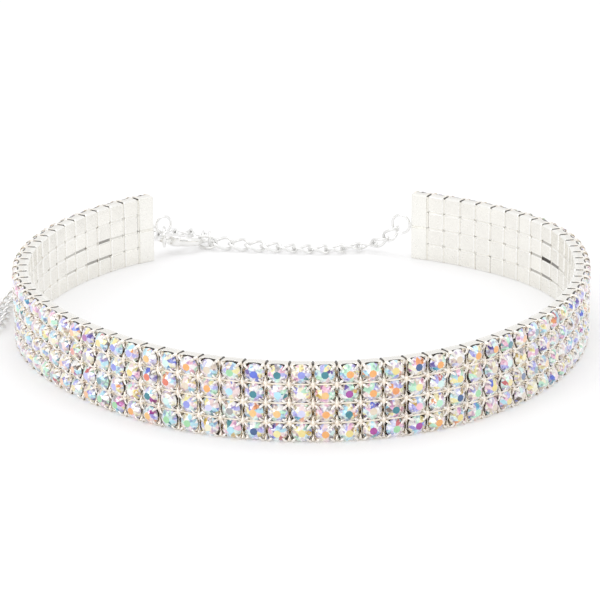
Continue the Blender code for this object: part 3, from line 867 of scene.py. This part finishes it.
def add_box(shape, low, high, tone, matrix, back_tone=None):
    """A box, whose back towards the neck may have a tone of its own."""
    (x0, y0, z0), (x1, y1, z1) = low, high
    points = [(x, y, z) for x in (x0, x1) for y in (y0, y1) for z in (z0, z1)]
    back = (0, 4, 5, 1)
    faces = [(0, 1, 3, 2), (4, 6, 7, 5), back, (2, 3, 7, 6), (0, 2, 6, 4), (1, 5, 7, 3)]
    tones = [back_tone or tone if face == back else tone for face in faces]
    shape.add(points, faces, tones, matrix)


# Metal seen in the gaps: how deep it lies from the back, from least to most, how far forward it
# reaches, and half its size across
SEAM_BACK = (0.1, 0.22)
SEAM_FRONT = 1.2
SEAM_HALF_WIDTH = 0.2
ROW_SEAM_FRONT = 2.68
ROW_SEAM_HALF_LENGTH = 1.85
ROW_SEAM_HALF_HEIGHT = 0.16
TOP_GAP = 0.3
CORNER_GAPS = (0.0, 0.03, 0.06, 0.1)
# Corners of the painted shade lines, dark boxes, with heights from the upper edge: one between two
# cups' edges, and one between the rim of a top cup and its stone
EDGE_SHADE_LINE = ((-0.17, 0.4, -0.5), (0.17, 1.95, 0.015))
RIM_SHADE_LINE = ((-1.15, 2.0, -0.4), (1.15, 2.34, -0.04))
# Tones of the metal in the gaps. The front of a gap between columns is dark brown: painted shade.
INNER_SEAM_TONE = (0.93, 0.92, 0.885)
FRONT_SEAM_SHADE_TONE = (0.45, 0.33, 0.2)
ROW_SEAM_TONE = (1.0, 0.93, 0.83)
# Near black: painted shade seen through a gaping row line
OPEN_SEAM_SHADE_TONE = (0.05, 0.045, 0.04)
# Tone of the painted shade lines
SHADE_LINE_TONE = (0.14, 0.13, 0.12)

# A spindle, where four prongs meet: half its length and width, and the depths of its back and crest
SPINDLE = (1.45, 0.48, 1.4, 3.05)
SPINDLE_TONE = (1.0, 0.94, 0.86)
SPINDLE_STEPS = 4
SPINDLE_TAPER = 1.6
SPINDLE_TIP_WIDTH = 0.25
SPINDLE_TIP_DROP = 0.55
SPINDLE_LOWEST = 0.05
SPINDLE_LEAST_STEP = 0.02
# The front of its section: how far across, as a share of half its width, and how far below its crest
SPINDLE_FRONT = ((-0.9, 0.28), (-0.4, 0.05), (0.0, 0.0), (0.4, 0.05), (0.9, 0.28))


def add_painted_shade_line(shape, corners, top, matrix):
    # A dark box that paints the shade in a narrow gap
    low, high = [(x, y, z + top) for x, y, z in corners]
    add_box(shape, low, high, SHADE_LINE_TONE, matrix)


def add_spindle(shape, line, matrix, low_end, high_end):
    """A slim silver bridge over the gap between two columns, widest where four cups meet."""
    half_length, half_width, back, crest = SPINDLE
    stations = []
    for step in range(-SPINDLE_STEPS, SPINDLE_STEPS + 1):
        share = step / SPINDLE_STEPS
        z = max(low_end, min(high_end, line + share * half_length))
        if stations and z - stations[-1][0][2] <= SPINDLE_LEAST_STEP:
            continue
        swell = 1 - abs(share) ** SPINDLE_TAPER
        width = half_width * (SPINDLE_TIP_WIDTH + (1 - SPINDLE_TIP_WIDTH) * swell)
        front = crest - SPINDLE_TIP_DROP * (1 - swell)
        crown = [(width * across, front - drop, z) for across, drop in SPINDLE_FRONT]
        stations.append([(-width, back, z), *crown, (width, back, z)])
    points, faces = tube_mesh(stations, False)
    shape.add(points, faces, [SPINDLE_TONE] * len(faces), matrix)


END_PLATE_TONE = (0.97, 0.97, 0.955)
# The rounded edge of an end plate: how far in, how deep
END_PLATE_ROUNDING = ((0.3, -0.05), (0.14, -0.02), (0.03, 0.1), (0.0, 0.3), (0.1, 0.5))


def add_end_plates(shape, k):
    """Smooth solder over the back of an end column, one plate for each two rows."""
    matrix = column_matrix(k)
    slit = ROW_SLIT / 2
    for low, high in ((0.0, 2 * ROW_PITCH - slit), (2 * ROW_PITCH + slit, 4 * ROW_PITCH)):
        levels = [cup_level(low, high, inset, depth) for inset, depth in END_PLATE_ROUNDING]
        points, faces = tube_mesh(levels, False)
        shape.add(points, faces, [END_PLATE_TONE] * len(faces), matrix)


def make_band():
    rng = random.Random(RANDOM_SEED)
    cups, prongs, stones, seams = Shape(), Shape(), Shape(), Shape()
    widest = max(OPEN_LINES.values())
    top = ROW_PITCH * ROWS
    for k in range(len(HEADINGS)):
        matrix = column_matrix(k)
        for row in range(ROWS):
            low, high = cell_span(row)
            under = OPEN_LINES.get((k, row), 0.0) / 2
            over = OPEN_LINES.get((k, row + 1), 0.0) / 2
            add_cup(cups, low + under, high - over, matrix, rng)
            add_prongs(prongs, low, high, matrix, rng)
            add_stone(stones, low, high, matrix, rng)
            if row:
                line = ROW_PITCH * row
                half = ROW_SEAM_HALF_HEIGHT + under
                # The seam's back darkens with the width of the gape: painted shade seen through the
                # open row line
                inside = blend_colours(INNER_SEAM_TONE, OPEN_SEAM_SHADE_TONE, 2 * under / widest)
                back = rng.uniform(*SEAM_BACK) if under == 0 else SEAM_BACK[1]
                low = (-ROW_SEAM_HALF_LENGTH, back, line - half)
                high = (ROW_SEAM_HALF_LENGTH, ROW_SEAM_FRONT, line + half)
                add_box(seams, low, high, ROW_SEAM_TONE, matrix, inside)
        add_painted_shade_line(seams, RIM_SHADE_LINE, top, matrix)
    for k in range(1, len(HEADINGS)):
        matrix = gap_matrix(k)
        for row in range(ROWS):
            low = ROW_PITCH * row + rng.choice(CORNER_GAPS)
            high = ROW_PITCH * (row + 1) - (TOP_GAP if row == ROWS - 1 else rng.choice(CORNER_GAPS))
            low = (-SEAM_HALF_WIDTH, rng.uniform(*SEAM_BACK), low)
            high = (SEAM_HALF_WIDTH, SEAM_FRONT, high)
            # The gap's front faces take the dark painted shade tone, its back the inner seam tone
            add_box(seams, low, high, FRONT_SEAM_SHADE_TONE, matrix, INNER_SEAM_TONE)
        add_painted_shade_line(seams, EDGE_SHADE_LINE, top, matrix)
        for line in range(ROWS + 1):
            add_spindle(prongs, ROW_PITCH * line, matrix, SPINDLE_LOWEST, top - TOP_GAP)
    add_end_plates(cups, 0)
    add_end_plates(cups, len(HEADINGS) - 1)
    return cups, prongs, stones, seams


# Clasp

def clasp_matrix():
    _, eye, _ = jump_ring_place()
    turn = Matrix.Rotation(math.radians(CLASP_HEADING), 4, "Z")
    pitch = Matrix.Rotation(math.radians(CLASP_PITCH), 4, "Y")
    return Matrix.Translation(eye) @ turn @ pitch


def section_at(angle):
    for low, high in zip(CLAW_SECTIONS, CLAW_SECTIONS[1:]):
        if angle <= high[0]:
            share = (angle - low[0]) / (high[0] - low[0])
            share = share * share * (3 - 2 * share)
            return [a + (b - a) * share for a, b in zip(low[1:], high[1:])]
    return CLAW_SECTIONS[-1][1:]


def claw_point(angle):
    turn = math.radians(angle)
    x = CLAW_CENTRE.x + CLAW_HALF_LENGTH * math.cos(turn)
    y = CLAW_CENTRE.y + CLAW_HALF_WIDTH * math.sin(turn)
    return Vector((x, y, 0))


def claw_normal(angle):
    turn = math.radians(angle)
    return Vector((math.cos(turn) / CLAW_HALF_LENGTH, math.sin(turn) / CLAW_HALF_WIDTH, 0)).normalized()


def claw_tube():
    first, last = CLAW_SECTIONS[0][0], CLAW_SECTIONS[-1][0]
    groups = []
    for s in range(CLAW_STATIONS):
        share = s / (CLAW_STATIONS - 1)
        angle = first + (last - first) * share
        half_width, half_thickness = section_at(angle)
        ease = min(1.0, (1 - share) * CLAW_TIP[0] + CLAW_TIP[1])
        ease = math.sqrt(max(0.0, 1 - (1 - ease) ** 2))
        group = []
        for turn in even_turns(CLAW_SIDES):
            out = claw_normal(angle) * half_width * ease * math.cos(turn)
            up = Vector((0, 0, half_thickness * ease * math.sin(turn)))
            group.append(claw_point(angle) + out + up)
        groups.append(group)
    return tube_mesh(groups, False)


def circle_points(centre, radius, depth, count):
    turns = even_turns(count)
    return [(centre.x + radius * math.cos(t), centre.y + radius * math.sin(t), depth) for t in turns]


def turned(centre, half_profile, sides):
    """A turned form, from half of its profile mirrored at its middle."""
    profile = [*half_profile, *[(radius, -depth) for radius, depth in reversed(half_profile)]]
    return tube_mesh([circle_points(centre, radius, depth, sides) for radius, depth in profile], False)


def mesh_object(name, points, faces):
    mesh = bpy.data.meshes.new(name)
    mesh.from_pydata([tuple(point) for point in points], [], faces)
    bm = bmesh.new()
    bm.from_mesh(mesh)
    bmesh.ops.recalc_face_normals(bm, faces=bm.faces)
    bm.to_mesh(mesh)
    bm.free()
    return add_object(name, mesh)


def apply_modifiers(item):
    graph = bpy.context.evaluated_depsgraph_get()
    mesh = bpy.data.meshes.new_from_object(item.evaluated_get(graph))
    item.modifiers.clear()
    item.data = mesh


def boolean(target, cutter, operation):
    modifier = target.modifiers.new(operation.title(), "BOOLEAN")
    modifier.operation = operation
    modifier.solver = "EXACT"
    modifier.object = cutter
    apply_modifiers(target)
    bpy.data.objects.remove(cutter, do_unlink=True)


def prism(outline, low, high):
    count = len(outline)
    points = [(x, y, low) for x, y in outline] + [(x, y, high) for x, y in outline]
    faces = [tuple(range(count))[::-1], tuple(range(count, 2 * count))]
    faces += [(k, (k + 1) % count, count + (k + 1) % count, count + k) for k in range(count)]
    return points, faces


def set_in_clasp(item, material):
    item.data.transform(clasp_matrix())
    item.data.transform(TO_FRAME)
    item.data.polygons.foreach_set("use_smooth", [True] * len(item.data.polygons))
    item.data.set_sharp_from_angle(angle=math.radians(METAL_SMOOTH_ANGLE))
    item.data.materials.clear()
    item.data.materials.append(material)
    return item


def make_clasp(material):
    half = BARREL_THICKNESS / 2
    barrel = [(BARREL_RADIUS * radius, half * depth) for radius, depth in BARREL_PROFILE]
    body = mesh_object("clasp_frame", *turned(BARREL_CENTRE, barrel, BARREL_SIDES))
    boolean(body, mesh_object("claw", *claw_tube()), "UNION")
    middle, along = Vector((0, 0, 0)), Vector((1, 0, 0))
    points, faces = ring_tube(middle, along, UP, EYE_RADIUS, EYE_WIRE, EYE_SIDES)
    flat = [Vector((p.x, p.y, p.z * EYE_FLATNESS)) for p in points]
    boolean(body, mesh_object("eye", flat, faces), "UNION")
    reach = BARREL_CENTRE.y + 2 * BARREL_RADIUS
    floor = BARREL_CENTRE.y - SLOT_FLOOR
    mouth, root, end = [BARREL_CENTRE.x + share * BARREL_RADIUS for share in SLOT_SHARES]
    slot = ((mouth, reach), (root, floor), (end, floor), (end, reach))
    cutter = prism(slot, -SLOT_HALF_HEIGHT, SLOT_HALF_HEIGHT)
    boolean(body, mesh_object("slot", *cutter), "DIFFERENCE")
    boolean(body, mesh_object("pin", *turned(PIVOT, PIN_PROFILE, PIN_SIDES)), "UNION")
    return set_in_clasp(body, material)


LEVER_THICKNESS = 0.9
LEVER_BOSS = 0.95
LEVER_ARM = 5.0
LEVER_ARM_WIDTH = 0.8
LEVER_ARM_ANGLE = 13.5
LEVER_TAB_ANGLE = 104.0
LEVER_TAB_LENGTH = 2.4
LEVER_TAB_WIDTH = 0.85
LEVER_BEVEL = 0.13
LEVER_BEVEL_SEGMENTS = 3
LEVER_BEVEL_FROM = 50
LEVER_BORE = 0.5
LEVER_BORE_SIDES = 32
LEVER_BOSS_STEPS = 24
# How much wider than round the ends of arm and tab are, and the turns at which they have points
ARM_END = (1.05, range(-60, 61, 24))
TAB_END = (1.15, range(-90, 91, 30))
# The arm's shoulder: distance as a share of the boss, half width as a share of the arm's
ARM_SHOULDER = ((2.4, 1.0), (1.5, 1.4))


def lever_outline():
    def from_pivot(angle, distance, side):
        point = PIVOT + heading_vector(angle) * distance + heading_vector(angle + 90) * side
        return (point.x, point.y)

    def rounded_end(angle, length, half, widening, turns):
        bends = [math.radians(turn) for turn in turns]
        return [
            from_pivot(angle, length - half * (1 - math.cos(t)), half * math.sin(t) * widening)
            for t in bends
        ]

    half_arm = LEVER_ARM_WIDTH / 2
    half_tab = LEVER_TAB_WIDTH / 2
    arm_root = math.degrees(math.asin(half_arm / LEVER_BOSS))
    tab_root = math.degrees(math.asin(half_tab / LEVER_BOSS))
    outline = rounded_end(LEVER_ARM_ANGLE, LEVER_ARM, half_arm, *ARM_END)
    for distance, width in ARM_SHOULDER:
        outline.append(from_pivot(LEVER_ARM_ANGLE, LEVER_BOSS * distance, half_arm * width))
    outline.append(from_pivot(LEVER_TAB_ANGLE, LEVER_BOSS, -half_tab))
    outline += rounded_end(LEVER_TAB_ANGLE, LEVER_TAB_LENGTH, half_tab, *TAB_END)
    start = LEVER_TAB_ANGLE + tab_root
    end = LEVER_ARM_ANGLE - arm_root + 360
    for k in range(LEVER_BOSS_STEPS + 1):
        outline.append(from_pivot(start + (end - start) * k / LEVER_BOSS_STEPS, LEVER_BOSS, 0))
    return outline


def make_lever(material):
    half = LEVER_THICKNESS / 2
    lever = mesh_object("clasp_trigger", *prism(lever_outline(), -half, half))
    bevel = lever.modifiers.new("Bevel", "BEVEL")
    bevel.width = LEVER_BEVEL
    bevel.segments = LEVER_BEVEL_SEGMENTS
    bevel.limit_method = "ANGLE"
    bevel.angle_limit = math.radians(LEVER_BEVEL_FROM)
    apply_modifiers(lever)
    bore = [(x, y) for x, y, _ in circle_points(PIVOT, LEVER_BORE, 0, LEVER_BORE_SIDES)]
    boolean(lever, mesh_object("bore", *prism(bore, -1, 1)), "DIFFERENCE")
    return set_in_clasp(lever, material)


# Chain

def smooth_route(points):
    points = [Vector(point) for point in points]
    points = [2 * points[0] - points[1]] + points + [2 * points[-1] - points[-2]]
    route = []
    for a, b, c, d in zip(points, points[1:], points[2:], points[3:]):
        for k in range(ROUTE_SAMPLES):
            t = k / ROUTE_SAMPLES
            pull = (c - a) * t + (2 * a - 5 * b + 4 * c - d) * t * t
            route.append(b + (pull + (3 * b - 3 * c + d - a) * t * t * t) / 2)
    return route + [points[-2]]


def even_points(route, step, whole):
    lengths = [0.0]
    for a, b in zip(route, route[1:]):
        lengths.append(lengths[-1] + (b - a).length)
    count = math.ceil(lengths[-1] / step) if whole else math.floor(lengths[-1] / step)
    spacing = lengths[-1] / count if whole else step
    found = []
    k = 0
    for n in range(count + 1):
        target = min(n * spacing, lengths[-1])
        while k < len(route) - 2 and lengths[k + 1] < target:
            k += 1
        share = (target - lengths[k]) / (lengths[k + 1] - lengths[k])
        found.append(route[k].lerp(route[k + 1], share))
    return found


def level_side(axis):
    return UP.cross(axis).normalized()


def add_link(shape, start, end, roll, twist=LINK_TWIST):
    axis = (end - start).normalized()
    side = level_side(axis)
    middle = (start + end) / 2
    half_length = (LINK_STEP + LINK_WIRE + LINK_PLAY) / 2
    stations = []
    for angle in even_turns(LINK_SEGMENTS):
        cosine, sine = math.cos(angle), math.sin(angle)
        x = half_length * math.copysign(abs(cosine) ** LINK_ROUNDNESS, cosine)
        y = LINK_HALF_WIDTH * math.copysign(abs(sine) ** LINK_ROUNDNESS, sine)
        inward = -Vector((cosine / half_length, sine / LINK_HALF_WIDTH)).normalized()
        turn = Matrix.Rotation(math.radians(roll + twist * x / half_length), 3, axis)
        across = turn @ side
        up = axis.cross(across)
        station = []
        for bend in even_turns(LINK_SIDES):
            flat = inward * math.cos(bend)
            point = axis * (x + flat.x * LINK_FULLNESS / 2) + across * (y + flat.y * LINK_FULLNESS / 2)
            station.append(middle + point + up * math.sin(bend) * LINK_FULLNESS / 2)
        stations.append(station)
    points, faces = tube_mesh(stations, True)
    shape.add(points, faces)


def add_chain(shape, joints, first_roll, last_roll):
    count = len(joints) - 1
    for k in range(count):
        roll = first_roll * max(0.0, 1 - k / ROLL_FADE)
        roll += last_roll * max(0.0, 1 - (count - 1 - k) / ROLL_FADE)
        add_link(shape, joints[k], joints[k + 1], roll)


def roll_of(axis, side):
    level = level_side(axis)
    angle = math.degrees(math.atan2(side.dot(axis.cross(level)), side.dot(level)))
    return (angle + 90) % 180 - 90


def hooked_link_place():
    local = HOOKED_LINK_HEADING - CLASP_HEADING
    slope = CLAW_HALF_LENGTH / CLAW_HALF_WIDTH
    nose = math.degrees(math.atan2(math.tan(math.radians(local)), slope))
    held = clasp_matrix() @ claw_point(nose)
    axis = heading_vector(HOOKED_LINK_HEADING)
    inside = held - axis * (CLAW_NOSE + HOOKED_LINK_PLAY + LINK_WIRE / 2)
    inside.z = HOOKED_LINK_HEIGHT
    start = inside + axis * (LINK_WIRE + LINK_PLAY) / 2
    return start, start + axis * LINK_STEP


def make_chain():
    shape = Shape()
    start, end = hooked_link_place()
    add_link(shape, start, end, 90.0, 0.0)
    _, direction, _, centre = end_ring("right")
    held = centre + (direction - UP).normalized() * (END_RING_DIAMETER["right"] - RING_WIRE) / 2
    leaving = (Vector(WORN_ROUTE[0]) - held).normalized()
    first = held - leaving * (RING_WIRE / 2 + CHAIN_RING_PLAY - LINK_PLAY / 2)
    roll = roll_of(leaving, leaving.cross(direction + UP)) + LINK_TWIST
    route = smooth_route((first, *WORN_ROUTE, end))
    add_chain(shape, even_points(route, LINK_STEP, True), roll, -LINK_TWIST)

    axis = (end - start).normalized()
    along, out = TAIL_HOLD
    wire = (start + end) / 2 + axis * along + UP * LINK_HALF_WIDTH * out
    leaving = heading_vector(HOOKED_LINK_HEADING + 90) * math.cos(math.radians(TAIL_DROP))
    leaving.z = -math.sin(math.radians(TAIL_DROP))
    leaving.rotate(Matrix.Rotation(math.radians(TAIL_TURN), 3, "Z"))
    hanging = wire - leaving * (LINK_WIRE + LINK_PLAY) / 2
    following = hanging + leaving * LINK_STEP
    add_link(shape, hanging, following, 90.0, 0.0)
    route = smooth_route((following, *TAIL_ROUTE))
    add_chain(shape, even_points(route, LINK_STEP, False), LINK_TWIST, 0.0)
    return shape


# Stage

def make_camera():
    data = bpy.data.cameras.new("camera")
    data.sensor_width = SENSOR_WIDTH
    data.lens = SENSOR_WIDTH * CAMERA_FOCAL_PIXELS / FRAME_PIXELS
    data.clip_start = 0.01
    data.clip_end = 20.0
    camera = add_object("camera", data)
    forward = Vector((0, math.cos(CAMERA_DOWN), -math.sin(CAMERA_DOWN)))
    right = Vector((1, 0, 0))
    up = right.cross(forward)
    rolled_right = right * math.cos(CAMERA_ROLL) + up * math.sin(CAMERA_ROLL)
    rolled_up = up * math.cos(CAMERA_ROLL) - right * math.sin(CAMERA_ROLL)
    rotation = Matrix((rolled_right, rolled_up, -forward)).transposed().to_4x4()
    camera.matrix_world = Matrix.Translation((CAMERA_PLACE + SHIFT) * MM) @ rotation
    bpy.context.scene.camera = camera


def area_light(name, place, target, size, power):
    data = bpy.data.lights.new(name, "AREA")
    data.shape = "RECTANGLE"
    data.size, data.size_y = size
    data.energy = power
    light = add_object(name, data)
    light.location = place
    light.rotation_euler = (Vector(target) - Vector(place)).to_track_quat("-Z", "Y").to_euler()


def ramp(tree, value, stops):
    node = tree.nodes.new("ShaderNodeValToRGB")
    elements = node.color_ramp.elements
    for element, (position, grey) in zip(elements, (stops[0], stops[-1])):
        element.position = position
        element.color = (grey, grey, grey, 1.0)
    for position, grey in stops[1:-1]:
        elements.new(position).color = (grey, grey, grey, 1.0)
    tree.links.new(value, node.inputs["Fac"])
    return node.outputs["Color"]


def make_world():
    """A white tent. Its front has a dark opening low down, which the metal and the facets mirror."""
    world = bpy.data.worlds.new("tent")
    world.use_nodes = True
    tree = world.node_tree
    background = tree.nodes["Background"]
    coordinates = tree.nodes.new("ShaderNodeTexCoord")
    split = tree.nodes.new("ShaderNodeSeparateXYZ")
    tree.links.new(coordinates.outputs["Generated"], split.inputs[0])
    height = map_range(tree, split.outputs["Z"], -1.0, 1.0, 0.0, 1.0)
    tent = ramp(tree, height, TENT_STOPS)
    opening = ramp(tree, height, OPENING_STOPS)
    toward = map_range(tree, split.outputs["Y"], *OPENING_SIDE, 1.0, 0.0)
    tree.links.new(mix_colours(tree, "MIX", toward, tent, opening), background.inputs["Color"])
    background.inputs["Strength"].default_value = TENT_STRENGTH
    bpy.context.scene.world = world


def make_floor():
    corners = [(a * FLOOR_HALF, b * FLOOR_HALF, 0) for a, b in ((-1, -1), (1, -1), (1, 1), (-1, 1))]
    mesh = bpy.data.meshes.new("floor")
    mesh.from_pydata(corners, [], [(0, 1, 2, 3)])
    floor = add_object("floor", mesh)
    floor.location.z = -FLOOR_DROP
    material, _, shader = principled("paper", PAPER_COLOUR, 0.7, 0.0)
    glow = {"Emission Color": (*PAPER_GLOW, 1.0), "Emission Strength": PAPER_GLOW_STRENGTH}
    set_inputs(shader, {"Specular IOR Level": 0.1, **glow})
    mesh.materials.append(material)


def carry(item, body, node):
    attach(item, body)
    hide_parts(node)


def main():
    make_camera()
    make_world()
    make_floor()
    for lamp in LAMPS:
        area_light(*lamp)

    cup_silver = silver("cup_silver", (0.94, 0.93, 0.9), 0.24, True)
    prong_silver = silver("prong_silver", (0.97, 0.955, 0.93), 0.27, True, 0.2)
    stone_glass = coated_stone("coated_glass")
    ring_silver = silver("polished_silver", (0.9, 0.9, 0.89), 0.2)
    clasp_silver = silver("clasp_plate", (0.9, 0.895, 0.88), 0.22)
    chain_silver = silver("chain_plate", (0.89, 0.89, 0.88), 0.32)

    cups, prongs, stones, seams = make_band()
    carry(cups.build("band_cups", cup_silver, None, True), "necklace", "stone_band")
    dressed = prongs.build("band_prongs", prong_silver, PRONG_SMOOTH_ANGLE, True)
    carry(dressed, "necklace", "stone_band")
    carry(stones.build("band_stones", stone_glass, None, True), "necklace", "stone_band")
    carry(seams.build("band_seams", cup_silver, None, True), "necklace", "stone_band")

    rings = Shape()
    for side in ("left", "right"):
        foot, direction, normal, centre = end_ring(side)
        radius = (END_RING_DIAMETER[side] - RING_WIRE) / 2
        rings.add(*ring_tube(centre, -direction, normal, radius, RING_WIRE))
        stations = []
        for share, extra, size in SOLDER_STATIONS:
            reach = SOLDER_NECK[side] * share + extra
            stations.append(neck_section(foot + direction * reach, normal, size))
        rings.add(*tube_mesh(stations, False))
    end_rings = rings.build("end_rings", ring_silver, WIRE_SMOOTH_ANGLE)
    carry(end_rings, "necklace", "stone_band")

    jump = Shape()
    middle, _, toward = jump_ring_place()
    size = (JUMP_RING_RADIUS, RING_WIRE)
    jump.add(*ring_tube(middle, toward, Vector((1, 0, 0)), *size, gap=RING_CUT_DEGREES))
    clasp_ring = jump.build("clasp_ring", ring_silver, WIRE_SMOOTH_ANGLE)
    carry(clasp_ring, "necklace", "jump_ring")

    carry(make_clasp(clasp_silver), "necklace", "clasp_body")
    carry(make_lever(clasp_silver), "lever", "clasp_lever")
    links = make_chain().build("chain_links", chain_silver, WIRE_SMOOTH_ANGLE)
    carry(links, "necklace", "extender_chain")

    scene = bpy.context.scene
    scene.view_settings.view_transform = "Standard"
    scene.view_settings.look = "None"


main()
